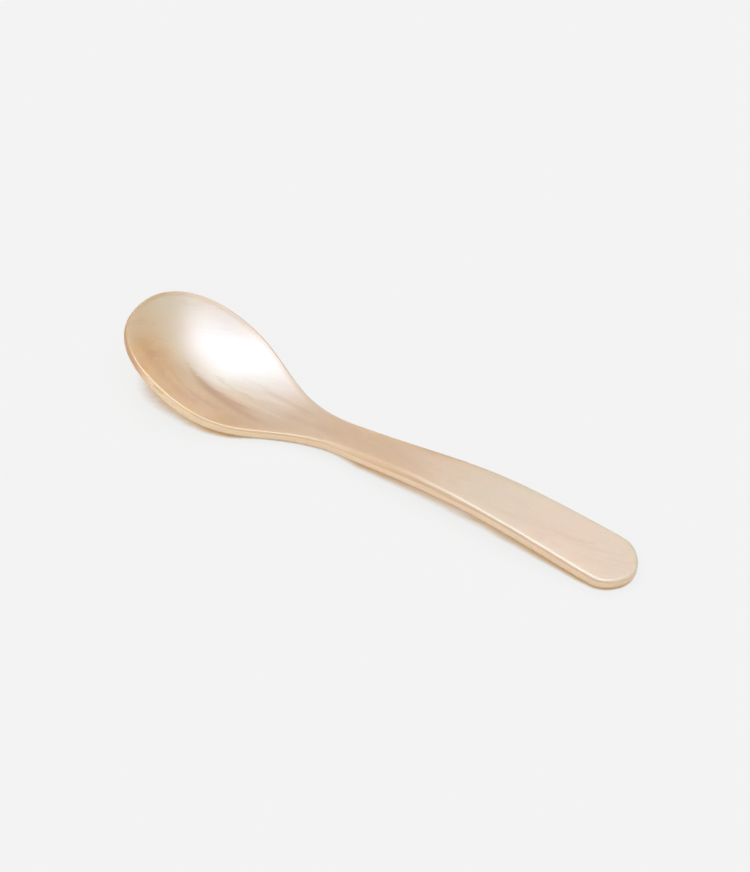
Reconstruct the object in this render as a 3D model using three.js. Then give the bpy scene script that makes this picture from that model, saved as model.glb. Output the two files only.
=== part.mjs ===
// Egg spoon worked from one sheet of shell: an oval bowl that runs out into a narrow neck, and an
// arched handle that widens to a half-round end. Millimetres. X runs from the tip of the bowl to
// the end of the handle, Y across, Z up. The spoon lies on the table z = 0, as it does in use.
import * as THREE from "three";

// Length of the outline in plan
const LENGTH = 125;

// Thickness of the sheet: thin at the tip of the bowl, stout in the handle
const TIP_SHEET = 1.1;
const BOWL_SHEET = 2;
const NECK_SHEET = 3.2;
const HANDLE_SHEET = 3.85;
const END_SHEET = 3.6;
const HANDLE_THICKEST_AT = 88;

// Rounded corners of the edge, as shares of the thickness there. The top corner is crisp round
// the bowl and the end, and soft where the handle leaves the neck
const LOWER_CORNER = 0.5;
const TOP_CORNERS = [
  [0, 0.17],
  [30, 0.15],
  [48, 0.17],
  [56, 0.34],
  [66, 0.46],
  [78, 0.32],
  [90, 0.16],
  [108, 0.15],
  [LENGTH, 0.15],
];

// Half outline in plan: places along the spoon, and half widths there
const BOWL_WIDEST_AT = 18.4;
const BOWL_HALF_WIDTH = 14.85;
const NECK_AT = 54.1;
const NECK_HALF_WIDTH = 4.2;
const HANDLE_HALF_WIDTH = 6.8;
const END_ROUND = 6.8;

// How far each outline curve reaches along its end tangents
const TIP_FULLNESS = 0.74;
const BOWL_FRONT_REACH = 0.48;
const BOWL_BACK_REACH = 13.6;
const NECK_FRONT_REACH = 16.8;
const NECK_BACK_REACH = 17.8;
const HANDLE_REACH = 15;
const END_FULLNESS = 0.48;
const NECK_TAPER = 0.04;
const HANDLE_TAPER = 0.02;

// Side view: height of the middle of the edge above the table, at places along the spoon
const EDGE_HEIGHTS = [
  [0, 14.3],
  [15, 8.8],
  [30, 2.7],
  [46, 2.25],
  [88, 5.55],
  [108, 3.8],
  [LENGTH, 1.5],
];

// The hollow of the bowl: its depth below the edge, where it is deepest, how fast it runs out
// towards the neck, and how steeply its walls turn up
const HOLLOW_DEPTH = 6.55;
const HOLLOW_AT = 15;
const HOLLOW_RUN_OUT = 12;
const WALL_POWER = 2.2;

// Ribs run from the long axis to the edge. They fan out from one point at each end
const FAN_EASE = 14;
const END_FAN_EASE = 6;

// Mesh density
const TIP_RIBS = 12;
const BOWL_BACK_RIBS = 18;
const HANDLE_RIBS = 16;
const END_RIBS = 8;
const RIB_STEPS = 7;
const CORNER_STEPS = 4;

const NACRE = { color: 0xdcc6ae, roughness: 0.28, metalness: 0 };

// A thin strip bent through [x, z] stations and free at both ends (a natural cubic spline)
function bentStrip(stations) {
  const last = stations.length - 1;
  const gap = [];
  const rise = [];
  for (let i = 0; i < last; i += 1) {
    gap.push(stations[i + 1][0] - stations[i][0]);
    rise.push((stations[i + 1][1] - stations[i][1]) / gap[i]);
  }
  const pivot = [1];
  const load = [0];
  for (let i = 1; i < last; i += 1) {
    const carried = i > 1 ? gap[i - 1] / pivot[i - 1] : 0;
    pivot.push(2 * (gap[i - 1] + gap[i]) - carried * gap[i - 1]);
    load.push(6 * (rise[i] - rise[i - 1]) - carried * load[i - 1]);
  }
  const bend = new Array(last + 1).fill(0);
  for (let i = last - 1; i > 0; i -= 1) {
    bend[i] = (load[i] - gap[i] * bend[i + 1]) / pivot[i];
  }
  return (x) => {
    let i = 0;
    while (i < last - 1 && x > stations[i + 1][0]) i += 1;
    const before = x - stations[i][0];
    const after = stations[i + 1][0] - x;
    const cubic = (bend[i] * after ** 3 + bend[i + 1] * before ** 3) / (6 * gap[i]);
    const left = stations[i][1] / gap[i] - (bend[i] * gap[i]) / 6;
    const right = stations[i + 1][1] / gap[i] - (bend[i + 1] * gap[i]) / 6;
    return cubic + left * after + right * before;
  };
}

const edgeHeight = bentStrip(EDGE_HEIGHTS);
const topCorner = bentStrip(TOP_CORNERS);
const thickness = bentStrip([
  [0, TIP_SHEET],
  [BOWL_WIDEST_AT, BOWL_SHEET],
  [NECK_AT, NECK_SHEET],
  [HANDLE_THICKEST_AT, HANDLE_SHEET],
  [LENGTH, END_SHEET],
]);

function planPoint(x, y) {
  return new THREE.Vector2(x, y);
}

// The half outline, from the tip of the bowl to the end of the handle
function halfOutline() {
  const endAt = LENGTH - END_ROUND;
  const tip = new THREE.CubicBezierCurve(
    planPoint(0, 0),
    planPoint(0, TIP_FULLNESS * BOWL_HALF_WIDTH),
    planPoint(BOWL_WIDEST_AT * (1 - BOWL_FRONT_REACH), BOWL_HALF_WIDTH),
    planPoint(BOWL_WIDEST_AT, BOWL_HALF_WIDTH),
  );
  const bowlBack = new THREE.CubicBezierCurve(
    planPoint(BOWL_WIDEST_AT, BOWL_HALF_WIDTH),
    planPoint(BOWL_WIDEST_AT + BOWL_BACK_REACH, BOWL_HALF_WIDTH),
    planPoint(NECK_AT - NECK_FRONT_REACH, NECK_HALF_WIDTH - NECK_TAPER * NECK_FRONT_REACH),
    planPoint(NECK_AT, NECK_HALF_WIDTH),
  );
  const handle = new THREE.CubicBezierCurve(
    planPoint(NECK_AT, NECK_HALF_WIDTH),
    planPoint(NECK_AT + NECK_BACK_REACH, NECK_HALF_WIDTH + NECK_TAPER * NECK_BACK_REACH),
    planPoint(endAt - HANDLE_REACH, HANDLE_HALF_WIDTH - HANDLE_TAPER * HANDLE_REACH),
    planPoint(endAt, HANDLE_HALF_WIDTH),
  );
  const end = new THREE.CubicBezierCurve(
    planPoint(endAt, HANDLE_HALF_WIDTH),
    planPoint(endAt + END_FULLNESS * END_ROUND, HANDLE_HALF_WIDTH),
    planPoint(LENGTH, END_FULLNESS * HANDLE_HALF_WIDTH),
    planPoint(LENGTH, 0),
  );
  return [
    { curve: tip, ribs: TIP_RIBS },
    { curve: bowlBack, ribs: BOWL_BACK_RIBS },
    { curve: handle, ribs: HANDLE_RIBS },
    { curve: end, ribs: END_RIBS },
  ];
}

// Where a rib starts on the long axis: one shared point near each end, eased into its own place
function ribFoot(x) {
  const fromTip = Math.max(0, x + FAN_EASE - HOLLOW_AT);
  const nearTip = HOLLOW_AT + fromTip ** 2 / (4 * FAN_EASE);
  const tipSide = fromTip < 2 * FAN_EASE ? nearTip : x;
  const endCentre = LENGTH - END_ROUND;
  const fromEnd = Math.max(0, endCentre + END_FAN_EASE - x);
  const nearEnd = endCentre - fromEnd ** 2 / (4 * END_FAN_EASE);
  return x < LENGTH / 2 ? tipSide : fromEnd < 2 * END_FAN_EASE ? nearEnd : x;
}

// Depth of the hollow below the line of the edge, on the long axis
function hollow(x) {
  return HOLLOW_DEPTH * Math.exp(-(((x - HOLLOW_AT) / HOLLOW_RUN_OUT) ** 2));
}

// Middle of the sheet: rib at plan point (edgeX, edgeY), part-way out from the axis
function sheetMiddle(edgeX, edgeY, part) {
  const foot = ribFoot(edgeX);
  const x = foot + (edgeX - foot) * part;
  const y = edgeY * part;
  const z = edgeHeight(x) - hollow(foot) * (1 - part ** WALL_POWER);
  return new THREE.Vector3(x, y, z);
}

// Where the ribs end: the outline moved in by the radius of the lower corner
function ribEnds() {
  const ends = [];
  halfOutline().forEach(({ curve, ribs }, k, all) => {
    const stop = k === all.length - 1 ? ribs : ribs - 1;
    for (let i = 0; i <= stop; i += 1) {
      const at = curve.getPoint(i / ribs);
      const along = curve.getTangent(i / ribs);
      const sheet = thickness(at.x);
      const inset = sheet * LOWER_CORNER;
      ends.push({
        x: at.x + along.y * inset,
        y: Math.max(0, at.y - along.x * inset),
        along,
        sheet,
        topShare: topCorner(at.x),
      });
    }
  });
  return ends;
}

// Unit normal of the sheet's middle on a rib, from small steps along the rib and along the edge
function sheetNormal(end, part) {
  const step = 0.01;
  if (part === 0) {
    const foot = ribFoot(end.x);
    const floor = (x) => edgeHeight(x) - hollow(Math.max(x, HOLLOW_AT));
    const slope = (floor(foot + step) - floor(foot - step)) / (2 * step);
    return new THREE.Vector3(-slope, 0, 1).normalize();
  }
  const outward = sheetMiddle(end.x, end.y, part + step)
    .sub(sheetMiddle(end.x, end.y, part - step));
  const forward = sheetMiddle(end.x + end.along.x * step, end.y + end.along.y * step, part)
    .sub(sheetMiddle(end.x - end.along.x * step, end.y - end.along.y * step, part));
  return forward.cross(outward).normalize();
}

// Points across one rib, from the axis on top, round the edge, to the axis underneath
function ribSection(end) {
  const top = [];
  const bottom = [];
  for (let i = 0; i < RIB_STEPS; i += 1) {
    const part = i / RIB_STEPS;
    const middle = sheetMiddle(end.x, end.y, part);
    const normal = sheetNormal(end, part);
    const half = thickness(middle.x) / 2;
    top.push(middle.clone().addScaledVector(normal, half));
    bottom.unshift(middle.clone().addScaledVector(normal, -half));
  }
  const centre = sheetMiddle(end.x, end.y, 1);
  const normal = sheetNormal(end, 1);
  const inner = sheetMiddle(end.x, end.y, 0.99);
  const outward = centre.clone().sub(inner);
  outward.addScaledVector(normal, -outward.dot(normal)).normalize();
  const corner = (side, share) => Array.from({ length: CORNER_STEPS + 1 }, (_, i) => {
    const turn = (Math.PI / 2) * (side > 0 ? 1 - i / CORNER_STEPS : i / CORNER_STEPS);
    const up = 0.5 - share + share * Math.sin(turn);
    const out = LOWER_CORNER - share + share * Math.cos(turn);
    return centre.clone()
      .addScaledVector(normal, side * up * end.sheet)
      .addScaledVector(outward, out * end.sheet);
  });
  const section = [...top, ...corner(1, end.topShare), ...corner(-1, LOWER_CORNER), ...bottom];
  section.forEach((point) => {
    point.z = Math.max(0, point.z);
  });
  return section;
}

// The whole spoon: rib sections on one side, mirrored to the other, joined into one closed skin
function spoonGeometry() {
  const sections = ribEnds().map(ribSection);
  const mirrored = sections.slice(1, -1).reverse()
    .map((section) => section.map((p) => new THREE.Vector3(p.x, -p.y, p.z)));
  const loop = [...sections, ...mirrored];
  const points = [];
  const shared = new Map();
  const indexOf = (p) => {
    const key = [p.x, p.y, p.z].map((v) => Math.round(v * 1e4) || 0).join(" ");
    if (!shared.has(key)) {
      shared.set(key, points.length / 3);
      points.push(p.x, p.y, p.z);
    }
    return shared.get(key);
  };
  const faces = [];
  const addFace = (a, b, c) => {
    if (a !== b && b !== c && c !== a) faces.push(a, b, c);
  };
  loop.forEach((section, k) => {
    const next = loop[(k + 1) % loop.length];
    for (let i = 0; i + 1 < section.length; i += 1) {
      const corners = [section[i], next[i], next[i + 1], section[i + 1]].map(indexOf);
      addFace(corners[0], corners[1], corners[2]);
      addFace(corners[0], corners[2], corners[3]);
    }
  });
  const geometry = new THREE.BufferGeometry();
  geometry.setAttribute("position", new THREE.Float32BufferAttribute(points, 3));
  geometry.setIndex(faces);
  geometry.computeVertexNormals();
  geometry.computeBoundingBox();
  const middle = geometry.boundingBox.getCenter(new THREE.Vector3());
  return geometry.translate(-middle.x, 0, 0);
}

const spoon = new THREE.Mesh(spoonGeometry(), new THREE.MeshStandardMaterial(NACRE));
spoon.name = "spoon";

const group = new THREE.Group();
group.name = "egg_spoon";
group.add(spoon);

export default group;
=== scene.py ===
"""Egg spoon of polished shell, lying bowl up on a pale table.

Lengths in the classes are millimetres and are turned into metres where a mesh, a finish or the
camera is made. X runs from the tip of the bowl to the end of the handle, Y across, Z up from the
table. Along the spoon, ShellSheet counts from the tip of the bowl. The finishes, the table and
the camera count from the middle of the spoon.
"""

import logging
import math
from dataclasses import dataclass
from enum import Enum

import bpy
from mathutils import Matrix, Vector
from mathutils.bvhtree import BVHTree


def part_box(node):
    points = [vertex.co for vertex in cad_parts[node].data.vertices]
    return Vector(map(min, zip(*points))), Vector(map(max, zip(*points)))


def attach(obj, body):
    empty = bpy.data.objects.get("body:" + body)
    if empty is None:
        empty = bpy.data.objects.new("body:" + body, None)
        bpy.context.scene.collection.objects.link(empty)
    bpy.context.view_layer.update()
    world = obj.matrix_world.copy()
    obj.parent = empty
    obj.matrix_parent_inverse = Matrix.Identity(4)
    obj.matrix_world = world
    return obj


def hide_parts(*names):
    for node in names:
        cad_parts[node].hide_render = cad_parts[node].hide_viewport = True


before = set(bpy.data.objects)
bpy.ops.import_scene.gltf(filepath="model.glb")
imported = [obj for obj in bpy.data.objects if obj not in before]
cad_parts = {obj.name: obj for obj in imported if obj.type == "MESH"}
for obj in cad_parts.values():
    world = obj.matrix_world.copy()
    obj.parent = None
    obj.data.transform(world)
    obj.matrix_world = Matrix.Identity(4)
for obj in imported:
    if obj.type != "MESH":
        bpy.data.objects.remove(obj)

LOG = logging.getLogger("egg_spoon")
MM = 0.001
EDGE_MARK = "ground_edge"
CORNER_MARK = "corner_turn"
SHADE_MARK = "hidden_sky"

FLOAT = "NodeSocketFloat"
INT = "NodeSocketInt"
VECTOR = "NodeSocketVector"
GEOMETRY = "NodeSocketGeometry"
MATERIAL = "NodeSocketMaterial"

Colour = tuple[float, float, float, float]
Span = tuple[float, float]
Stations = tuple[tuple[float, float], ...]


def put_in_scene(name: str, data: bpy.types.ID) -> bpy.types.Object:
    """Puts a new object in the scene, at the origin.

    Args:
        name: the object's name.
        data: its mesh or its camera.

    Returns:
        The object.
    """
    made = bpy.data.objects.new(name, data)
    bpy.context.scene.collection.objects.link(made)
    return made


class Region(Enum):
    """The four curves of the half outline, from the tip of the bowl to the end of the handle."""

    TIP = 0
    BOWL_BACK = 1
    HANDLE = 2
    END = 3


@dataclass(frozen=True)
class Wire:
    """An output in a node tree. Arithmetic on it adds the node that does the sum."""

    bench: "Bench"
    socket: bpy.types.NodeSocket

    def __add__(self, other: "Wire | float") -> "Wire":
        """Sum."""
        return self.bench.math("ADD", self, other)

    def __sub__(self, other: "Wire | float") -> "Wire":
        """Difference."""
        return self.bench.math("SUBTRACT", self, other)

    def __rsub__(self, other: float) -> "Wire":
        """Difference, number first."""
        return self.bench.math("SUBTRACT", other, self)

    def __mul__(self, other: "Wire | float") -> "Wire":
        """Product."""
        return self.bench.math("MULTIPLY", self, other)

    def __truediv__(self, other: "Wire | float") -> "Wire":
        """Quotient."""
        return self.bench.math("DIVIDE", self, other)

    def __neg__(self) -> "Wire":
        """The same with the other sign."""
        return self.bench.math("MULTIPLY", self, -1.0)


Amount = Wire | float


class Bench:
    """Adds nodes to one node tree and joins them."""

    def __init__(self, tree: bpy.types.NodeTree) -> None:
        """Keeps the tree.

        Args:
            tree: a shader or geometry node tree.
        """
        self.tree = tree

    @staticmethod
    def on(block: bpy.types.Material | bpy.types.World) -> "Bench":
        """Empties the node tree of a material or a world.

        Args:
            block: the material or the world.

        Returns:
            A bench for its tree.
        """
        block.use_nodes = True
        block.node_tree.nodes.clear()
        return Bench(block.node_tree)

    def put(self, socket: bpy.types.NodeSocket, value: object) -> None:
        """Joins a wire to an input, or writes a plain value on it.

        Args:
            socket: the input.
            value: the wire or the value.
        """
        if isinstance(value, Wire):
            self.tree.links.new(value.socket, socket)
        else:
            socket.default_value = value

    def node(self, kind: str, settings: dict | None = None, **inputs: object) -> bpy.types.Node:
        """Adds a node.

        Args:
            kind: the node's type name.
            settings: values for the node's own properties.
            inputs: a wire or a value for each named input, with _ for a space.

        Returns:
            The new node.
        """
        made = self.tree.nodes.new(kind)
        for name, value in (settings or {}).items():
            setattr(made, name, value)
        for name, value in inputs.items():
            self.put(made.inputs[name.replace("_", " ")], value)
        return made

    def out(self, kind: str, output: str | int = 0, settings: dict | None = None,
            **inputs: object) -> Wire:
        """Adds a node and gives one of its outputs.

        Args:
            kind: the node's type name.
            output: the output's name or number.
            settings: as in node.
            inputs: as in node.

        Returns:
            The output as a wire.
        """
        return Wire(self, self.node(kind, settings, **inputs).outputs[output])

    def row(self, kind: str, settings: dict, values: tuple) -> Wire:
        """Adds a node whose inputs are filled in order.

        Args:
            kind: the node's type name.
            settings: values for the node's own properties.
            values: a wire or a value for each of its first inputs.

        Returns:
            The node's first output.
        """
        made = self.node(kind, settings)
        for socket, value in zip(made.inputs, values):
            self.put(socket, value)
        return Wire(self, made.outputs[0])

    def math(self, operation: str, *values: Amount) -> Wire:
        """A Math node on one to three values."""
        return self.row("ShaderNodeMath", {"operation": operation}, values)

    def vector(self, operation: str, *values: object) -> Wire:
        """A Vector Math node on one or two vectors."""
        return self.row("ShaderNodeVectorMath", {"operation": operation}, values)

    def scale(self, vector: Wire, factor: Amount) -> Wire:
        """A vector times a number."""
        return self.out("ShaderNodeVectorMath", "Vector", {"operation": "SCALE"},
                        Vector=vector, Scale=factor)

    def pack(self, x: Amount, y: Amount, z: Amount) -> Wire:
        """A vector from three numbers."""
        return self.out("ShaderNodeCombineXYZ", X=x, Y=y, Z=z)

    def parts(self, vector: Wire) -> tuple[Wire, Wire, Wire]:
        """The three numbers of a vector."""
        made = self.node("ShaderNodeSeparateXYZ", Vector=vector)
        return tuple(Wire(self, made.outputs[name]) for name in "XYZ")

    def bell(self, off: Wire) -> Wire:
        """1 where a value is 0, falling away on both sides as a bell curve."""
        return self.math("EXPONENT", -(off * off))

    def ease(self, value: Wire, low: float, high: float) -> Wire:
        """0 below one value and 1 above the other, with a smooth run between them."""
        return self.out("ShaderNodeMapRange", "Result", {"interpolation_type": "SMOOTHSTEP"},
                        Value=value, From_Min=low, From_Max=high)

    def blend(self, factor: Amount, a: object, b: object) -> Wire:
        """Adds a node that mixes two colours.

        Args:
            factor: the share of b.
            a, b: a wire or a colour each.

        Returns:
            The mixed colour.
        """
        made = self.node("ShaderNodeMix", {"data_type": "RGBA"})
        for name, value in (("Factor_Float", factor), ("A_Color", a), ("B_Color", b)):
            self.put(next(s for s in made.inputs if s.identifier == name), value)
        return Wire(self, next(s for s in made.outputs if s.identifier == "Result_Color"))

    def mix(self, share: Amount, a: Wire, b: Wire) -> Wire:
        """A share of shader b with the rest of shader a."""
        return self.row("ShaderNodeMixShader", {}, (share, a, b))

    def noise(self, vector: Wire, scale: float, detail: float, roughness: float = 0.5) -> Wire:
        """Noise between 0 and 1 at a point."""
        return self.out("ShaderNodeTexNoise", "Fac", Vector=vector, Scale=scale, Detail=detail,
                        Roughness=roughness)

    def mark(self, name: str) -> Wire:
        """A number that the mesh carries at its points."""
        return self.out("ShaderNodeAttribute", "Fac", {"attribute_name": name})

    def place(self) -> tuple[Wire, Wire, Wire]:
        """A point of the piece in mm, as three wires."""
        return self.parts(self.scale(self.out("ShaderNodeTexCoord", "Object"), 1 / MM))

    def facing_up(self) -> Wire:
        """How far the surface faces up, from -1 to 1."""
        return self.parts(self.out("ShaderNodeTexCoord", "Normal"))[2]


class Rule(Bench):
    """A geometry node tree with named inputs, for one rule of the spoon's shape."""

    def __init__(self, name: str, inputs: dict[str, str], outputs: dict[str, str]) -> None:
        """Makes the tree and its sockets.

        Args:
            name: the tree's name.
            inputs: the type of each named input.
            outputs: the type of each named output.
        """
        super().__init__(bpy.data.node_groups.new(name, "GeometryNodeTree"))
        for in_out, sockets in (("INPUT", inputs), ("OUTPUT", outputs)):
            for label, kind in sockets.items():
                self.tree.interface.new_socket(label, in_out=in_out, socket_type=kind)
        given = self.tree.nodes.new("NodeGroupInput")
        self.given = {s.name: Wire(self, s) for s in given.outputs if s.name}
        self.result = self.tree.nodes.new("NodeGroupOutput")

    def answer(self, **results: Wire) -> None:
        """Joins the wires to the tree's outputs of those names."""
        for name, wire in results.items():
            self.put(self.result.inputs[name], wire)

    def use(self, rule: "Rule", values: dict[str, object]) -> Wire:
        """Runs another rule inside this one.

        Args:
            rule: the rule.
            values: its inputs. An input that isn't named takes this tree's own of that name.

        Returns:
            The rule's first output.
        """
        made = self.node("GeometryNodeGroup", {"node_tree": rule.tree})
        for socket in made.inputs:
            if socket.name in values or socket.name in self.given:
                self.put(socket, values.get(socket.name, self.given.get(socket.name)))
        return Wire(self, made.outputs[0])

    def join(self, pieces: list[Wire]) -> Wire:
        """Joins pieces of geometry into one, where the last piece comes first.

        Args:
            pieces: the pieces.

        Returns:
            The joined geometry.
        """
        joined = self.node("GeometryNodeJoinGeometry")
        for piece in pieces:
            self.put(joined.inputs[0], piece)
        return Wire(self, joined.outputs[0])

    def store(self, geometry: Wire, name: str, value: Wire) -> Wire:
        """The geometry with a number kept under a name at its points."""
        return self.out("GeometryNodeStoreNamedAttribute",
                        settings={"data_type": "FLOAT", "domain": "POINT"},
                        Geometry=geometry, Name=name, Value=value)


@dataclass(frozen=True)
class ShellSheet:
    """The spoon as one sheet of shell: its outline, its side view and the hollow of its bowl.

    A corner is a share of the sheet's thickness, and polished is how far around the top corner
    the polish goes. The names in sizes and counts are the tree's inputs, each with the value of
    the field of that name.
    """

    length: float = 125
    tip_sheet: float = 1.1
    bowl_sheet: float = 2
    neck_sheet: float = 3.2
    handle_sheet: float = 3.85
    end_sheet: float = 3.6
    handle_thickest_at: float = 88
    lower_corner: float = 0.5
    top_corners: Stations = (
        (0, 0.17), (30, 0.15), (48, 0.17), (56, 0.34), (66, 0.46), (78, 0.32), (90, 0.16),
        (108, 0.15), (125, 0.15))
    polished: Stations = (
        (0, 0), (4, 0.3), (8, 0.7), (24, 0.7), (30.5, 0.4), (37, 0.7), (46, 0.7), (60, 0.7),
        (90, 0.7), (125, 0.7))
    bowl_widest_at: float = 18.4
    bowl_half_width: float = 14.85
    neck_at: float = 54.1
    neck_half_width: float = 4.2
    handle_half_width: float = 6.8
    end_round: float = 6.8
    tip_fullness: float = 0.74
    bowl_front_reach: float = 0.48
    bowl_back_reach: float = 13.6
    neck_front_reach: float = 16.8
    neck_back_reach: float = 17.8
    handle_reach: float = 15
    end_fullness: float = 0.48
    neck_taper: float = 0.04
    handle_taper: float = 0.02
    edge_heights: Stations = (
        (0, 14.3), (15, 8.8), (30, 2.7), (46, 2.25), (88, 5.55), (108, 3.8), (125, 1.5))
    hollow_depth: float = 6.55
    hollow_at: float = 15
    hollow_run_out: float = 12
    wall_power: float = 2.2
    fan_ease: float = 14
    end_fan_ease: float = 6
    ribs: int = 260
    rib_steps: int = 44
    corner_steps: int = 8
    small_step: float = 0.05
    curve_steps: int = 128
    seam_gap: float = 0.002
    ground_from: float = 0.99
    sizes: tuple[str, ...] = ("Length", "Lower Corner", "End Round", "Bowl Half Width",
                              "Neck Half Width", "Handle Half Width", "Hollow Depth",
                              "Hollow At", "Hollow Run Out", "Fan Ease", "End Fan Ease")
    counts: tuple[str, ...] = ("Ribs", "Rib Steps", "Corner Steps")

    @staticmethod
    def bends(stations: Stations) -> list[tuple[float, ...]]:
        """A thin strip bent through stations, free at both ends (a natural cubic spline).

        Args:
            stations: places along the spoon, with the value at each.

        Returns:
            For each stretch: where it starts, how long it is, and its slope, bend and twist, so
            that it rises by u * (slope + u * (bend + u * twist)) at u from its start.
        """
        at = [x for x, _ in stations]
        gap = [b - a for a, b in zip(at, at[1:])]
        rise = [(b[1] - a[1]) / (b[0] - a[0]) for a, b in zip(stations, stations[1:])]
        pivot, load = [1.0], [0.0]
        for i in range(1, len(gap)):
            carried = gap[i - 1] / pivot[i - 1] if i > 1 else 0.0
            pivot.append(2 * (gap[i - 1] + gap[i]) - carried * gap[i - 1])
            load.append(6 * (rise[i] - rise[i - 1]) - carried * load[i - 1])
        curve = [0.0] * len(at)
        for i in range(len(gap) - 1, 0, -1):
            curve[i] = (load[i] - gap[i] * curve[i + 1]) / pivot[i]
        return [(at[i], gap[i], rise[i] - gap[i] * (2 * curve[i] + curve[i + 1]) / 6,
                 curve[i] / 2, (curve[i + 1] - curve[i]) / (6 * gap[i]))
                for i in range(len(gap))]

    def strip(self, name: str, stations: Stations) -> Rule:
        """The rule for a value that follows a bent strip along the spoon.

        Args:
            name: the rule's name.
            stations: places along the spoon, with the value at each.

        Returns:
            The rule, from a place to the value there.
        """
        rule = Rule(name, {"At": FLOAT}, {"Value": FLOAT})
        value: Amount = stations[0][1]
        for start, gap, slope, bend, twist in self.bends(stations):
            u = rule.math("MINIMUM", rule.math("MAXIMUM", rule.given["At"] - start, 0.0), gap)
            value = u * (u * (u * twist + bend) + slope) + value
        rule.answer(Value=value)
        return rule

    def height(self) -> Rule:
        """The rule for the height of the line of the edge."""
        return self.strip("Edge Height", self.edge_heights)

    def thickness(self) -> Rule:
        """The rule for the thickness of the sheet, thin at the tip and stout in the handle."""
        return self.strip("Sheet Thickness", (
            (0, self.tip_sheet), (self.bowl_widest_at, self.bowl_sheet),
            (self.neck_at, self.neck_sheet), (self.handle_thickest_at, self.handle_sheet),
            (self.length, self.end_sheet)))

    def hollow(self) -> Rule:
        """The depth of the hollow on the long axis, below the line of the edge.

        Returns:
            The rule, from a place to the depth there.
        """
        rule = Rule("Bowl Hollow", {"At": FLOAT, "Hollow Depth": FLOAT, "Hollow At": FLOAT,
                                    "Hollow Run Out": FLOAT}, {"Depth": FLOAT})
        off = (rule.given["At"] - rule.given["Hollow At"]) / rule.given["Hollow Run Out"]
        rule.answer(Depth=rule.bell(off) * rule.given["Hollow Depth"])
        return rule

    def rib_foot(self) -> Rule:
        """Where a rib starts on the long axis, fanned out from a point near each end.

        Returns:
            The rule, from the place of the rib's end to the place of its foot.
        """
        rule = Rule("Rib Foot", {"At": FLOAT, "Length": FLOAT, "End Round": FLOAT,
                                 "Hollow At": FLOAT, "Fan Ease": FLOAT, "End Fan Ease": FLOAT},
                    {"Foot": FLOAT})
        given, math_of = rule.given, rule.math
        at, ease, end_ease = given["At"], given["Fan Ease"], given["End Fan Ease"]
        from_tip = math_of("MAXIMUM", at + ease - given["Hollow At"], 0.0)
        near_tip = from_tip * from_tip / (ease * 4.0) + given["Hollow At"]
        end_centre = given["Length"] - given["End Round"]
        from_end = math_of("MAXIMUM", end_centre + end_ease - at, 0.0)
        near_end = end_centre - from_end * from_end / (end_ease * 4.0)
        in_tip = math_of("LESS_THAN", from_tip, ease * 2.0)
        in_end = math_of("LESS_THAN", from_end, end_ease * 2.0)
        free = 1.0 - in_tip - in_end
        rule.answer(Foot=near_tip * in_tip + near_end * in_end + at * free)
        return rule

    def sheet_middle(self, foot_rule: Rule, hollow_rule: Rule, edge_rule: Rule) -> Rule:
        """The middle of the sheet, on the rib to an edge point, part-way out.

        Args:
            foot_rule: where a rib starts.
            hollow_rule: how deep the hollow is.
            edge_rule: how high the line of the edge is.

        Returns:
            The rule, from the edge point and the part of the way to the point there.
        """
        rule = Rule("Sheet Middle",
                    {"Edge": VECTOR, "Part": FLOAT, "Length": FLOAT, "End Round": FLOAT,
                     "Hollow Depth": FLOAT, "Hollow At": FLOAT, "Hollow Run Out": FLOAT,
                     "Fan Ease": FLOAT, "End Fan Ease": FLOAT}, {"Middle": VECTOR})
        part = rule.given["Part"]
        edge_x, edge_y, _ = rule.parts(rule.given["Edge"])
        foot = rule.use(foot_rule, {"At": edge_x})
        x = foot + (edge_x - foot) * part
        wall = 1.0 - rule.math("POWER", rule.math("ABSOLUTE", part), self.wall_power)
        z = rule.use(edge_rule, {"At": x}) - rule.use(hollow_rule, {"At": foot}) * wall
        rule.answer(Middle=rule.pack(x, edge_y * part, z))
        return rule

    def outline(self, rule: Rule) -> Wire:
        """The half outline as four joined curves.

        Args:
            rule: the main tree, whose inputs give the half widths and the length.

        Returns:
            The curves, flat at z = 0.
        """
        bowl, neck = rule.given["Bowl Half Width"], rule.given["Neck Half Width"]
        handle, end_round = rule.given["Handle Half Width"], rule.given["End Round"]
        length = rule.given["Length"]
        end_at = length - end_round
        widest = self.bowl_widest_at
        joints = [(0.0, 0.0), (widest, bowl), (self.neck_at, neck), (end_at, handle),
                  (length, 0.0)]
        handles = {
            Region.TIP: ((0.0, bowl * self.tip_fullness),
                         (widest * (1 - self.bowl_front_reach), bowl)),
            Region.BOWL_BACK: ((widest + self.bowl_back_reach, bowl),
                               (self.neck_at - self.neck_front_reach,
                                neck - self.neck_taper * self.neck_front_reach)),
            Region.HANDLE: ((self.neck_at + self.neck_back_reach,
                             neck + self.neck_taper * self.neck_back_reach),
                            (end_at - self.handle_reach,
                             handle - self.handle_taper * self.handle_reach)),
            Region.END: ((end_at + end_round * self.end_fullness, handle),
                         (length, handle * self.end_fullness)),
        }
        curves = []
        for region in reversed(Region):
            line = (joints[region.value], *handles[region], joints[region.value + 1])
            start, leave, arrive, end = (rule.pack(x, y, 0.0) for x, y in line)
            curves.append(rule.out("GeometryNodeCurvePrimitiveBezierSegment",
                                   Resolution=self.curve_steps, Start=start,
                                   Start_Handle=leave, End_Handle=arrive, End=end))
        return rule.join(curves)

    def given(self, names: tuple[str, ...], kind: type) -> dict[str, float]:
        """The values of the tree's named inputs, from the fields of the same names."""
        return {name: kind(getattr(self, name.lower().replace(" ", "_"))) for name in names}

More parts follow.
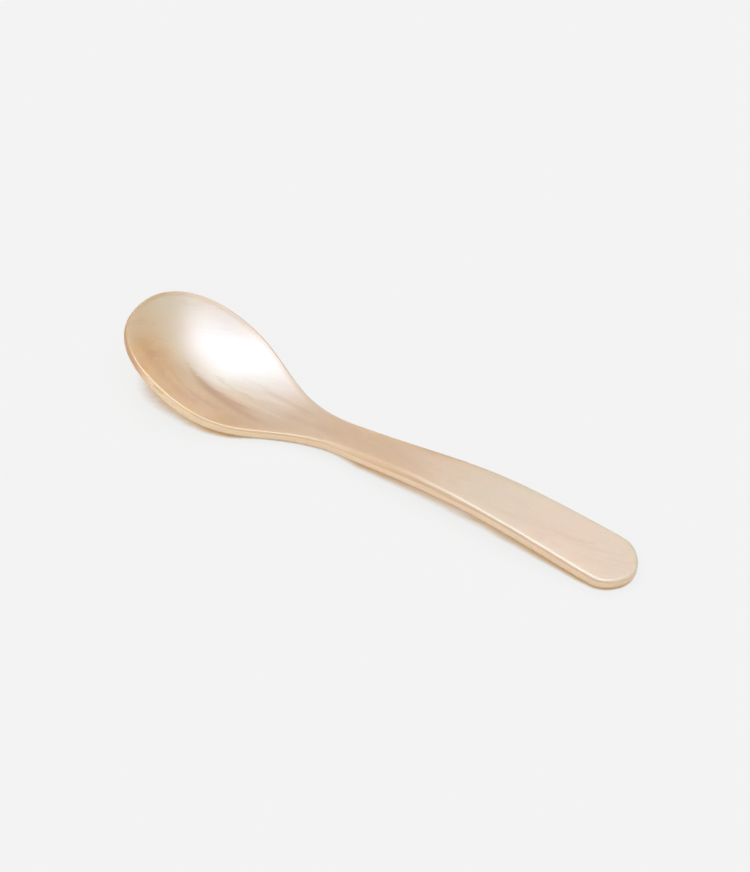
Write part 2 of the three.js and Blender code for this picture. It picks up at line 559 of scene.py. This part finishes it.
    def build(self, finish: bpy.types.Material, edge_finish: bpy.types.Material,
              room: tuple[Vector, Vector]) -> bpy.types.Object:
        """Makes the spoon as one plain closed mesh.

        Args:
            finish: the material of its polished faces.
            edge_finish: the material of the ground edge.
            room: lowest and highest corner of the box that it has to stay in, in metres.

        Returns:
            The object, at the origin, with its place in its mesh.
        """
        skin = Skin(self)
        skin.finish()
        maker = put_in_scene("spoon_maker", bpy.data.meshes.new("spoon_maker"))
        modifier = maker.modifiers.new("skin", "NODES")
        modifier.node_group = skin.tree
        values = self.given(self.sizes, float) | self.given(self.counts, int)
        values |= {"Finish": finish, "Edge Finish": edge_finish}
        for item in skin.tree.interface.items_tree:
            if item.in_out == "INPUT":
                modifier[item.identifier] = values[item.name]
        maker.update_tag()
        made = maker.evaluated_get(bpy.context.evaluated_depsgraph_get())
        mesh = bpy.data.meshes.new_from_object(made)
        mesh.name = "shell_spoon"
        reaches = [(pick(v.co[axis] for v in mesh.vertices), corner[axis])
                   for pick, corner in zip((min, max), room) for axis in range(3)]
        fit = min([1.0] + [abs(limit / reach) for reach, limit in reaches if abs(reach) > MM])
        mesh.transform(Matrix.Scale(fit, 4))
        bpy.data.objects.remove(maker)
        return put_in_scene("shell_spoon", mesh)


class Skin(Rule):
    """The main tree: rib sections on one side, mirrored, closed, centred and in metres.

    At each point of the skin, edge_x is where its rib reaches the outline along the spoon, edge
    is the end of the sheet's middle there, step counts out along the rib from the long axis, and
    round_step counts on around the corner. side is 1 above the sheet's middle and -1 below it.
    """

    def __init__(self, sheet: ShellSheet) -> None:
        """Makes the tree's sockets, and finds where each point of its grid belongs.

        Args:
            sheet: the sizes and rules of the spoon.
        """
        inputs = {name: FLOAT for name in sheet.sizes} | {name: INT for name in sheet.counts}
        inputs |= {"Finish": MATERIAL, "Edge Finish": MATERIAL}
        super().__init__("Spoon Skin", inputs, {"Spoon": GEOMETRY})
        self.sheet = sheet
        self.height, self.thickness = sheet.height(), sheet.thickness()
        self.hollow, self.foot = sheet.hollow(), sheet.rib_foot()
        self.middle = sheet.sheet_middle(self.foot, self.hollow, self.height)
        self.section = (self.given["Rib Steps"] + self.given["Corner Steps"] + 1.0) * 2.0
        index = self.out("GeometryNodeInputIndex")
        rib = self.math("FLOOR", (index + 0.5) / self.section)
        in_section = index - rib * self.section
        along = rib / (self.given["Ribs"] - 1.0) * float(len(Region))
        region = self.math("MINIMUM", self.math("FLOOR", along), len(Region) - 1.0)
        at_edge = self.node("GeometryNodeSampleCurve", {"mode": "FACTOR"},
                            Curves=sheet.outline(self), Factor=along - region,
                            Curve_Index=region)
        self.edge_x, edge_y, _ = self.parts(Wire(self, at_edge.outputs["Position"]))
        self.tangent = Wire(self, at_edge.outputs["Tangent"])
        along_x, along_y, _ = self.parts(self.tangent)
        self.edge_sheet = self.use(self.thickness, {"At": self.edge_x})
        inset = self.edge_sheet * self.given["Lower Corner"]
        self.edge = self.pack(self.edge_x + along_y * inset,
                              self.math("MAXIMUM", edge_y - along_x * inset, 0.0), 0.0)
        self.step = self.math("MINIMUM", in_section, self.section - 1.0 - in_section)
        self.round_step = self.math("MAXIMUM", self.step - self.given["Rib Steps"], 0.0)
        self.side = self.math("LESS_THAN", in_section, self.section / 2.0) * 2.0 - 1.0
        self.on_top = self.math("GREATER_THAN", self.side, 0.0)

    def stance(self) -> tuple[Wire, Wire, Wire]:
        """Finds the middle of the sheet at a point, and which way the sheet faces there.

        Returns:
            The point on the sheet's middle, the way square to the sheet, and the way out along
            the rib.
        """
        small = self.sheet.small_step
        nudge = self.scale(self.tangent, small)
        part = self.math("MINIMUM", self.step / self.given["Rib Steps"], 1.0)
        part_step = small / self.sheet.bowl_half_width
        middle, ahead, behind, outer, inner = (
            self.use(self.middle, {"Edge": edge, "Part": share}) for edge, share in (
                (self.edge, part),
                (self.vector("ADD", self.edge, nudge), part),
                (self.vector("SUBTRACT", self.edge, nudge), part),
                (self.edge, part + part_step),
                (self.edge, part - part_step)))
        outward = self.vector("NORMALIZE", self.vector("SUBTRACT", outer, inner))
        forward = self.vector("SUBTRACT", ahead, behind)
        rib_normal = self.vector("NORMALIZE", self.vector("CROSS_PRODUCT", forward, outward))

        foot = self.use(self.foot, {"At": self.parts(self.edge)[0]})
        floor = [self.use(self.height, {"At": foot + shift})
                 - self.use(self.hollow, {"At": self.math("MAXIMUM", foot + shift,
                                                          self.given["Hollow At"])})
                 for shift in (-small, small)]
        slope = (floor[1] - floor[0]) / (2 * small)
        axis_normal = self.vector("NORMALIZE", self.pack(-slope, 0.0, 1.0))
        on_axis = self.math("LESS_THAN", self.step, 0.5)
        normal = self.row("GeometryNodeSwitch", {"input_type": "VECTOR"},
                          (on_axis, rib_normal, axis_normal))
        return middle, normal, outward

    def position(self) -> Wire:
        """Finds where a point lies: off the sheet's middle, or around its corner.

        Returns:
            The position, never below the table.
        """
        middle, normal, outward = self.stance()
        lower = self.given["Lower Corner"]
        turn = (1.0 - self.round_step / self.given["Corner Steps"]) * (math.pi / 2)
        in_corner = self.math("LESS_THAN", self.given["Rib Steps"] - 0.5, self.step)
        sheet = (self.use(self.thickness, {"At": self.parts(middle)[0]}) * (1.0 - in_corner)
                 + self.edge_sheet * in_corner)
        corner = self.sheet.strip("Top Corner", self.sheet.top_corners)
        share = (self.use(corner, {"At": self.edge_x}) * self.on_top
                 + lower * (1.0 - self.on_top))
        rise = sheet * self.side * (share * self.math("SINE", turn) - share + 0.5)
        reach = sheet * in_corner * (share * self.math("COSINE", turn) - share + lower)
        off_middle = self.vector("ADD", self.scale(normal, rise), self.scale(outward, reach))
        x, y, z = self.parts(self.vector("ADD", middle, off_middle))
        return self.pack(x, y, self.math("MAXIMUM", z, 0.0))

    def marked(self, mesh: Wire) -> Wire:
        """Marks the ground edge and the turn of the top corner at the mesh's points.

        Args:
            mesh: the mesh.

        Returns:
            The mesh with both marks.
        """
        polished = self.sheet.strip("Polished Share", self.sheet.polished)
        shine = self.use(polished, {"At": self.edge_x}) * self.on_top
        round_share = self.round_step / self.given["Corner Steps"]
        ground = (self.math("GREATER_THAN", round_share, shine)
                  * self.math("GREATER_THAN", self.round_step, 0.5))
        at_rim = self.math("MAXIMUM", self.step - self.given["Rib Steps"] + 1.0, 0.0)
        corner = self.math("MINIMUM", at_rim, 1.0) * self.on_top
        return self.store(self.store(mesh, EDGE_MARK, ground), CORNER_MARK, corner)

    def closed(self, half: Wire) -> Wire:
        """Mirrors one half, closes the seam and turns the spoon into metres.

        Args:
            half: the skin on one side of the long axis.

        Returns:
            The whole spoon, centred along its length.
        """
        mirrored = self.out("GeometryNodeTransform", Geometry=half, Scale=(1.0, -1.0, 1.0))
        both = self.join([half, self.out("GeometryNodeFlipFaces", Mesh=mirrored)])
        whole = self.out("GeometryNodeMergeByDistance", Geometry=both,
                         Distance=self.sheet.seam_gap)
        box = self.node("GeometryNodeBoundBox", Geometry=whole)
        off_centre = self.scale(self.vector("ADD", Wire(self, box.outputs["Min"]),
                                            Wire(self, box.outputs["Max"])), -0.5)
        centred = self.out("GeometryNodeTransform", Geometry=whole,
                           Translation=self.vector("MULTIPLY", off_centre, (1.0, 0.0, 0.0)))
        sized = self.out("GeometryNodeTransform", Geometry=centred, Scale=(MM, MM, MM))
        return self.out("GeometryNodeSetShadeSmooth", Geometry=sized)

    def finish(self) -> None:
        """Puts the points of a grid in place, and dresses the closed spoon."""
        grid = self.out("GeometryNodeMeshGrid", "Mesh", Size_X=1.0, Size_Y=1.0,
                        Vertices_X=self.given["Ribs"], Vertices_Y=self.section)
        half = self.out("GeometryNodeSetPosition", Geometry=self.marked(grid),
                        Position=self.position())
        solid = self.out("GeometryNodeRealizeInstances", Geometry=self.closed(half))
        polished = self.out("GeometryNodeSetMaterial", Geometry=solid,
                            Material=self.given["Finish"])
        mark = self.out("GeometryNodeInputNamedAttribute", settings={"data_type": "FLOAT"},
                        Name=EDGE_MARK)
        ground = self.math("GREATER_THAN", mark, self.sheet.ground_from)
        self.answer(Spoon=self.out("GeometryNodeSetMaterial", Geometry=polished,
                                   Selection=ground, Material=self.given["Edge Finish"]))


@dataclass(frozen=True)
class Streak:
    """A growth line in the shell: a soft band along a bowed line over the spoon, in plan."""

    start: Span
    end: Span
    bow: float
    width: float
    depth: float
    fade: float = 0.3

    def draw(self, bench: Bench, x: Wire, y: Wire) -> Wire:
        """Adds the nodes for the streak.

        Args:
            bench: the material's tree.
            x: place along the spoon in mm.
            y: place across it in mm, warped.

        Returns:
            The streak's depth here: 0 off it, below 0 on a dark one and above 0 on a light one.
        """
        along = (x - self.start[0]) / (self.end[0] - self.start[0])
        line = (along * (self.end[1] - self.start[1]) + self.start[1]
                + along * (1.0 - along) * (4 * self.bow))
        body = bench.bell((y - line) / self.width)
        ends = bench.ease(along, 0.0, self.fade) * (1.0 - bench.ease(along, 1 - self.fade, 1.0))
        return body * ends * self.depth


@dataclass(frozen=True)
class Shell:
    """Sizes of the shell's growth layers, shared by its polished faces and its ground edge."""

    wander: float = 5.0
    wander_scale: tuple[float, float, float] = (0.045, 0.11, 0.11)
    wander_detail: float = 2.0
    across: float = 0.32
    upward: float = 0.9
    band_scale: float = 0.55
    band_drift: float = 0.02
    line_scale: float = 2.6
    line_drift: Span = (0.07, 0.2)
    layer_detail: float = 3.0
    layer_roughness: float = 0.6
    grain_stretch: float = 0.6
    grain_scale: float = 1.5
    grain_detail: float = 4.0
    grain_roughness: float = 0.7
    light_reach: tuple[float, float, float] = (1.0, 0.6, 0.35)

    def bands(self, bench: Bench, x: Wire, y: Wire, z: Wire) -> tuple[Wire, Wire, Wire]:
        """The layers cut by the surface.

        Args:
            bench: the material's tree.
            x, y, z: the point in mm.

        Returns:
            Broad bands, fine lines and grain, each from -0.5 to 0.5.
        """
        spread = bench.pack(*(at * scale for at, scale in zip((x, y, z), self.wander_scale)))
        wobble = bench.noise(spread, 1.0, self.wander_detail) - 0.5
        layer = y * self.across + z * self.upward + wobble * self.wander
        broad = bench.noise(bench.pack(layer * self.band_scale, x * self.band_drift, 0.0),
                            1.0, self.layer_detail, self.layer_roughness)
        drift_x, drift_y = self.line_drift
        fine = bench.noise(bench.pack(layer * self.line_scale, x * drift_x, y * drift_y),
                           1.0, self.layer_detail, self.layer_roughness)
        grain = bench.noise(bench.pack(x * self.grain_stretch, y, z), self.grain_scale,
                            self.grain_detail, self.grain_roughness)
        return broad - 0.5, fine - 0.5, grain - 0.5

    def dress(self, bench: Bench, clearness: float, clear_depth: float,
              **inputs: object) -> None:
        """Adds the shader, with light inside the shell, and joins it to the material.

        Args:
            bench: the material's tree.
            clearness: the share of light that goes inside.
            clear_depth: how far it goes, in mm.
            inputs: the shader's other inputs.
        """
        shader = bench.out("ShaderNodeBsdfPrincipled", Subsurface_Weight=clearness,
                           Subsurface_Scale=clear_depth * MM,
                           Subsurface_Radius=self.light_reach, **inputs)
        bench.node("ShaderNodeOutputMaterial", Surface=shader)


@dataclass(frozen=True)
class Nacre:
    """Polished blond shell: a silky mirror over warm, slightly clear growth layers.

    A fade is the stretch along the spoon over which one colour gives way to the next. A pale
    painted glare, standing in for the lamp's reflection, lies on the upward faces of the bowl,
    and the worn corner behind the neck is duller. A painted dark reflection runs along the far
    rim.
    """

    shell: Shell = Shell()
    name: str = "polished_nacre"
    bowl: Colour = (0.84, 0.565, 0.285, 1)
    neck: Colour = (0.68, 0.46, 0.22, 1)
    handle: Colour = (0.715, 0.60, 0.40, 1)
    pale: Colour = (0.89, 0.68, 0.50, 1)
    tip: Colour = (0.86, 0.615, 0.44, 1)
    # painted glare: colour, place, reach and upward facing of the pale patch that stands in for
    # the lamp's reflection in the bowl
    painted_glare: Colour = (0.91, 0.845, 0.83, 1)
    # painted dark reflection: colour of the dark line along the far rim's top corner
    painted_far_rim_shade: Colour = (0.52, 0.36, 0.16, 1)
    tan: Colour = (0.58, 0.32, 0.13, 1)
    rose: Colour = (0.92, 0.70, 0.60, 1)
    tip_fade: Span = (-61.5, -56.0)
    painted_glare_at: Span = (-43.0, 9.0)
    painted_glare_reach: Span = (20.0, 9.0)
    painted_glare_facing: Span = (-0.2, 0.3)
    neck_fade: Span = (-42.0, -20.0)
    handle_fade: Span = (4.0, 36.0)
    pale_fade: Span = (24.0, 52.0)
    band_depth: float = 0.75
    line_depth: float = 0.5
    grain_depth: float = 0.35
    roughness: float = 0.33
    roughness_swing: float = 0.04
    streak_smoothing: float = 0.5
    worn_from: Span = (-16.0, -8.0)
    worn_to: Span = (4.0, 14.0)
    worn_roughness: float = 0.35
    # painted dark reflection on the far rim: its strength, the side it lies on and where it
    # fades out toward the neck
    painted_far_rim_depth: float = 0.65
    painted_far_rim_side: Span = (-4.0, 4.0)
    painted_far_rim_fade: Span = (-26.0, -15.0)
    lustre: float = 3.2
    mirror_tint: Colour = (0.80, 0.82, 0.93, 1)
    coat: float = 0.2
    coat_roughness: float = 0.05
    clearness: float = 0.9
    clear_depth: float = 5.0
    wave: float = 0.05
    line_wave: float = 0.4
    streak_warp: Span = (2.2, 0.8)
    streaks: tuple[Streak, ...] = (
        Streak((-54, 1.6), (-27, -3), -1.4, 0.8, -0.65),
        Streak((-50, -0.6), (-23, -4.8), -1.2, 0.9, -0.65),
        Streak((-47, 2.6), (-30, 0.2), -0.4, 0.5, -0.4),
        Streak((-43, 0.8), (-20, 2.4), 0.2, 0.8, 0.4),
        Streak((-36, -1.2), (-22, -1.6), 0, 0.5, 0.3),
        Streak((-34, 3.6), (-16, 2.2), 0, 0.6, -0.35),
        Streak((-26, 0.2), (-8, -0.6), 0.3, 0.9, -0.35),
        Streak((-46, -5), (-16, -3), -2, 3.4, -0.35),
        Streak((-37, -1), (-17, 0.5), 0, 2.6, -0.25),
        Streak((-60, -4), (-38, -9), -1.5, 2, -0.4),
        Streak((-62, 5), (-41, 0.5), 0, 3.2, 0.4),
        Streak((-55, -2.6), (-34, -6.6), -1.6, 0.6, -0.3),
        Streak((24, -4.5), (58, 0.8), 0.6, 1.1, -0.16),
        Streak((4, 1.5), (46, 3.8), 0.4, 1.4, 0.14),
    )

    def ground(self, bench: Bench, x: Wire, y: Wire) -> Wire:
        """The shell's own colour, before its growth lines.

        Args:
            bench: the material's tree.
            x, y: the point in mm, in plan.

        Returns:
            The colour, with a pale painted glare, standing in for the lamp's reflection, on the
            faces of the bowl that look up.
        """
        colour = bench.blend(bench.ease(x, *self.neck_fade), self.bowl, self.neck)
        colour = bench.blend(bench.ease(x, *self.handle_fade), colour, self.handle)
        colour = bench.blend(bench.ease(x, *self.pale_fade), colour, self.pale)
        colour = bench.blend(bench.ease(x, *self.tip_fade), self.tip, colour)
        # painted glare: a pale patch where the lamp is reflected in the bowl, only on faces that
        # look up
        off_x, off_y = ((place - middle) / reach for place, middle, reach
                        in zip((x, y), self.painted_glare_at, self.painted_glare_reach))
        painted_glare = bench.math("EXPONENT", -(off_x * off_x + off_y * off_y))
        painted_glare = painted_glare * bench.ease(bench.facing_up(), *self.painted_glare_facing)
        return bench.blend(painted_glare, colour, self.painted_glare)

    def make(self) -> bpy.types.Material:
        """Makes the material.

        Returns:
            The material.
        """
        material = bpy.data.materials.new(self.name)
        bench = Bench.on(material)
        x, y, z = bench.place()
        broad, fine, grain = self.shell.bands(bench, x, y, z)
        warped_y = y + broad * self.streak_warp[0] + fine * self.streak_warp[1]
        streaks: Amount = 0.0
        for streak in self.streaks:
            streaks = streak.draw(bench, x, warped_y) + streaks
        tone = broad * self.band_depth + fine * self.line_depth + grain * self.grain_depth
        tone = tone + streaks
        dark = bench.math("MAXIMUM", -tone, 0.0)
        light = bench.math("MAXIMUM", tone, 0.0)
        colour = bench.blend(dark, self.ground(bench, x, y), self.tan)
        colour = bench.blend(light, colour, self.rose)
        corner = bench.mark(CORNER_MARK)
        # painted dark reflection: the top corner on the far side darkened, fading out toward the
        # neck
        at_rim = (corner * (1.0 - bench.ease(x, *self.painted_far_rim_fade)) * self.painted_far_rim_depth
                  * bench.ease(y, *self.painted_far_rim_side))
        colour = bench.blend(at_rim, colour, self.painted_far_rim_shade)
        rough = bench.math("MULTIPLY_ADD", fine + streaks * -self.streak_smoothing,
                           self.roughness_swing, self.roughness)
        worn = bench.ease(x, *self.worn_from) * (1.0 - bench.ease(x, *self.worn_to))
        rough = rough + corner * worn * self.worn_roughness
        bump = bench.out("ShaderNodeBump", "Normal", Strength=1.0, Distance=self.wave * MM,
                         Height=broad + fine * self.line_wave + streaks)
        self.shell.dress(bench, self.clearness, self.clear_depth, Base_Color=colour,
                         Roughness=rough, Coat_Weight=self.coat,
                         Coat_Roughness=self.coat_roughness, IOR=self.lustre,
                         Specular_Tint=self.mirror_tint, Normal=bump)
        return material


@dataclass(frozen=True)
class GroundEdge:
    """The edge, ground across the growth layers: clear amber, with little mirror.

    A painted dark band, shade standing in for the reflection of the dark low room, runs beside
    the polished corner and stops over a stretch behind the neck. Faces that look down are
    painted brown, as shade, and the edge is painted darker toward the tip, as shade.
    """

    shell: Shell = Shell()
    name: str = "ground_shell_edge"
    amber: Colour = (0.97, 0.75, 0.54, 1)
    honey: Colour = (0.83, 0.565, 0.35, 1)
    # painted shade: brown for the edge faces that look down toward the shaded table
    under: Colour = (0.42, 0.25, 0.12, 1)
    # painted shade: the edge darker toward the tip of the bowl
    painted_tip_shade: Colour = (0.60, 0.40, 0.245, 1)
    # painted shade: colour, strength and extent of the dark band beside the polished corner
    painted_shade_band: Colour = (0.60, 0.42, 0.30, 1)
    painted_shade_band_depth: float = 0.6
    painted_shade_band_run: Span = (0.7, 0.95)
    painted_shade_band_end: Span = (-20.0, -10.0)
    painted_shade_band_start: Span = (10.0, 24.0)
    underside_shade_turn: Span = (0.05, 0.8)
    tip_fade: Span = (-55.5, -47.5)
    layer_depth: float = 0.9
    honey_share: float = 0.2
    roughness: float = 0.3
    gloss: float = 1.53
    coat: float = 0.25
    coat_roughness: float = 0.08
    clearness: float = 0.8
    clear_depth: float = 3.0

    def make(self) -> bpy.types.Material:
        """Makes the material.

        Returns:
            The material.
        """
        material = bpy.data.materials.new(self.name)
        bench = Bench.on(material)
        x, y, z = bench.place()
        broad, fine, _ = self.shell.bands(bench, x, y, z)
        tone = bench.math("MAXIMUM", (broad + fine) * self.layer_depth + self.honey_share, 0.0)
        layers = bench.blend(tone, self.amber, self.honey)
        # painted shade: the edge turns darker toward the tip
        layers = bench.blend(bench.ease(x, *self.tip_fade), self.painted_tip_shade, layers)
        # painted shade: a dark band beside the polished corner for the reflected dark low room,
        # left out behind the neck
        bare = bench.ease(x, *self.painted_shade_band_end) * (1.0 - bench.ease(x, *self.painted_shade_band_start))
        in_painted_shade_band = (bench.ease(bench.mark(CORNER_MARK), *self.painted_shade_band_run) * (1.0 - bare)
                     * self.painted_shade_band_depth)
        layers = bench.blend(in_painted_shade_band, layers, self.painted_shade_band)
        # painted shade: faces that look down turn brown
        under = bench.ease(-bench.facing_up(), *self.underside_shade_turn)
        self.shell.dress(bench, self.clearness, self.clear_depth,
                         Base_Color=bench.blend(under, layers, self.under),
                         Roughness=self.roughness, Coat_Weight=self.coat,
                         Coat_Roughness=self.coat_roughness, IOR=self.gloss)
        return material


@dataclass(frozen=True)
class ContactShade:
    """The warm shade on the table under the overhang of the spoon.

    It follows the share of the sky that the spoon hides from the table: the warm shade comes in
    over run and its dark core over deep_run. The share is raised by bowl_lift at the bowl and
    lowered by neck_drop at the neck.
    """

    shade: Colour = (0.55, 0.34, 0.14, 1)
    deep: Colour = (0.20, 0.15, 0.11, 1)
    run: Span = (0.58, 0.79)
    deep_run: Span = (0.74, 0.97)
    bowl_lift: float = 0.2
    bowl_fade: Span = (-60.0, -40.0)
    neck_drop: float = 0.15
    neck_from: Span = (-32.0, -25.0)
    neck_to: Span = (-12.0, -3.0)
    fine_reach: Span = (72.0, 24.0)
    spacing: float = 0.8
    rays: int = 240
    ray_reach: float = 14.0
    golden_turn: float = math.pi * (3 - math.sqrt(5))

    def sky(self) -> list[Vector]:
        """Spreads directions over the sky, closer together overhead.

        Returns:
            The directions.
        """
        outs = [math.sqrt((i + 0.5) / self.rays) for i in range(self.rays)]
        turns = [i * self.golden_turn for i in range(self.rays)]
        return [Vector((out * math.cos(turn), out * math.sin(turn), math.sqrt(1 - out * out)))
                for out, turn in zip(outs, turns)]

    def hidden(self, points: list[Vector], spoon: bpy.types.Object) -> list[float]:
        """Works out the share of the sky that the spoon hides, within reach of the rays.

        Args:
            points: points of the table, in metres.
            spoon: the spoon.

        Returns:
            The share at each point.
        """
        tree = BVHTree.FromPolygons([v.co for v in spoon.data.vertices],
                                    [p.vertices for p in spoon.data.polygons])
        sky, far = self.sky(), self.ray_reach * MM
        shares = []
        for point in points:
            near = tree.find_nearest(point, far)[0] is not None
            hits = (tree.ray_cast(point, ray, far)[0] is not None for ray in sky)
            shares.append(sum(hits) / self.rays if near else 0.0)
        return shares

    def mesh(self, half: float, spoon: bpy.types.Object) -> bpy.types.Mesh:
        """Makes the table's mesh, fine near the spoon, with the hidden share at its points.

        Args:
            half: half the table's width in mm.
            spoon: the spoon.

        Returns:
            The mesh.
        """
        steps = [round(2 * reach / self.spacing) for reach in self.fine_reach]
        xs, ys = ([-half, *(reach * (2 * i / count - 1) for i in range(count + 1)), half]
                  for reach, count in zip(self.fine_reach, steps))
        points = [Vector((x, y, 0)) * MM for x in xs for y in ys]
        rows = len(ys)
        corners = [i * rows + j for i in range(len(xs) - 1) for j in range(rows - 1)]
        faces = [(i, i + rows, i + rows + 1, i + 1) for i in corners]
        mesh = bpy.data.meshes.new("table_top")
        mesh.from_pydata(points, [], faces)
        mark = mesh.attributes.new(SHADE_MARK, "FLOAT", "POINT")
        mark.data.foreach_set("value", self.hidden(points, spoon))
        return mesh

    def colour(self, bench: Bench, pale: Colour) -> Wire:
        """The table's colour, from its own in the open to warm shade under the spoon.

        Args:
            bench: the material's tree.
            pale: the table's own colour.

        Returns:
            The colour.
        """
        x = bench.place()[0]
        at_bowl = 1.0 - bench.ease(x, *self.bowl_fade)
        at_neck = bench.ease(x, *self.neck_from) * (1.0 - bench.ease(x, *self.neck_to))
        hidden = bench.mark(SHADE_MARK) + at_bowl * self.bowl_lift - at_neck * self.neck_drop
        warm = bench.blend(bench.ease(hidden, *self.run), pale, self.shade)
        return bench.blend(bench.ease(hidden, *self.deep_run), warm, self.deep)


@dataclass(frozen=True)
class Studio:
    """The pale table, the wide soft light overhead, the room's light and the camera."""

    table_shade: Colour = (0.895, 0.895, 0.895, 1)
    table_glow: float = 0.9
    contact: ContactShade = ContactShade()
    table_size: float = 6000
    room_light: float = 0.2
    soft_light: float = 2.33
    handle_side: Span = (0.36, 0.8)
    tip_side: Span = (-0.66, -0.42)
    far_side: Span = (-0.25, 0.85)
    near_side: Span = (-1.0, -0.2)
    tip_slant: float = 0.5
    camera_turn: float = 32.96
    camera_rise: float = 45
    camera_distance: float = 1000
    looks_at: tuple[float, float, float] = (-5.902, 7.011, 0)
    pixels_per_mm: float = 4.6802
    picture_height: float = 872
    sensor: float = 36

    def table(self, spoon: bpy.types.Object) -> bpy.types.Object:
        """Makes the table top, wide enough to fill the view.

        To the camera most of its shade is its own glow, so that it stays even. For light that
        bounces it is a plain pale table.

        Args:
            spoon: the spoon that lies on it and shades it.

        Returns:
            The table top.
        """
        top = put_in_scene("table_top", self.contact.mesh(self.table_size / 2, spoon))
        material = bpy.data.materials.new("pale_table")
        bench = Bench.on(material)
        shade = self.contact.colour(bench, self.table_shade)
        shaded = bench.mix(self.table_glow, bench.out("ShaderNodeBsdfDiffuse", Color=shade),
                           bench.out("ShaderNodeEmission", Color=shade))
        plain = bench.out("ShaderNodeBsdfDiffuse", Color=self.table_shade)
        seen = bench.out("ShaderNodeLightPath", "Is Camera Ray")
        bench.node("ShaderNodeOutputMaterial", Surface=bench.mix(seen, plain, shaded))
        top.data.materials.append(material)
        return top

    def light(self) -> None:
        """Sets the light: a wide overhead sheet with soft edges, in an evenly lit pale room."""
        world = bpy.data.worlds.new("pale_room")
        bench = Bench.on(world)
        along, across, up = bench.parts(bench.out("ShaderNodeTexCoord", "Generated"))
        slanted = across + bench.math("MINIMUM", along, 0.0) * self.tip_slant
        sheet = ((1.0 - bench.ease(along, *self.handle_side))
                 * bench.ease(along, *self.tip_side)
                 * (1.0 - bench.ease(slanted, *self.far_side))
                 * bench.ease(across, *self.near_side))
        above = bench.math("GREATER_THAN", up, 0.0)
        level = sheet * above * self.soft_light + self.room_light
        lit = bench.out("ShaderNodeBackground", Color=(1, 1, 1, 1), Strength=level)
        pale = bench.out("ShaderNodeBackground", Color=self.table_shade)
        seen = bench.out("ShaderNodeLightPath", "Is Camera Ray")
        bench.node("ShaderNodeOutputWorld", Surface=bench.mix(seen, lit, pale))
        bpy.context.scene.world = world

    def camera(self) -> None:
        """Sets the camera at the viewing angle of the photograph."""
        lens = bpy.data.cameras.new("camera")
        lens.sensor_width = self.sensor
        lens.lens = (self.pixels_per_mm * self.camera_distance * self.sensor
                     / self.picture_height)
        turn, rise = math.radians(self.camera_turn), math.radians(self.camera_rise)
        back = Vector((math.sin(turn) * math.cos(rise), -math.cos(turn) * math.cos(rise),
                       math.sin(rise)))
        camera = put_in_scene("camera", lens)
        camera.location = (Vector(self.looks_at) + self.camera_distance * back) * MM
        camera.rotation_euler = (-back).to_track_quat("-Z", "Y").to_euler()
        bpy.context.scene.camera = camera


def main() -> None:
    """Builds the spoon and the studio in order."""
    logging.basicConfig(level=logging.INFO, format="%(message)s")
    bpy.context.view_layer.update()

    spoon = ShellSheet().build(Nacre().make(), GroundEdge().make(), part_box("spoon"))
    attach(spoon, "root")
    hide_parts("spoon")
    LOG.info("%s: %d faces", spoon.name, len(spoon.data.polygons))

    studio = Studio()
    table = studio.table(spoon)
    studio.light()
    studio.camera()
    bpy.context.scene.view_settings.view_transform = "Standard"
    LOG.info("%s, light and camera", table.name)


if __name__ == "__main__":
    main()
